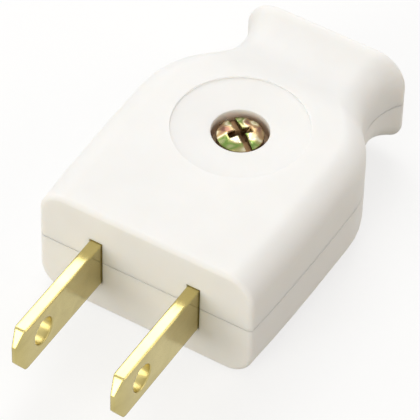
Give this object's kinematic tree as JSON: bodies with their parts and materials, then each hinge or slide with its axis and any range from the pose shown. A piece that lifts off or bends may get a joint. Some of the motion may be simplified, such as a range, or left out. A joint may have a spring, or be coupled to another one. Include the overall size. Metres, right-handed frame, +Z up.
{
  "type": "flat electric plug",
  "caption": "White flat electric plug with flat brass blades, a housing screwed together from moulded halves, a dished screw well and a waisted, flared cord end.",
  "frame": {"origin": "middle of the engagement face, at the middle of the blades' height", "axes": "+X across the blades to the right seen from behind the plug with the screw up, +Y back from the blades to the cord end, +Z up through the screw"},
  "size_m": [0.0286, 0.0568, 0.0152],
  "materials": {
    "white_plastic": "smooth satin moulding",
    "brass": "bright rolled strip",
    "yellow_steel": "yellow-passivated zinc plate"
  },
  "bodies": {
    "root": {"cover": "white_plastic", "base": "white_plastic", "right_blade": "brass", "left_blade": "brass", "right_terminal_washer": "yellow_steel", "left_terminal_washer": "yellow_steel", "right_terminal_screw": "yellow_steel", "left_terminal_screw": "yellow_steel", "assembly_screw": "yellow_steel", "assembly_nut": "yellow_steel"}
  },
  "joints": []
}
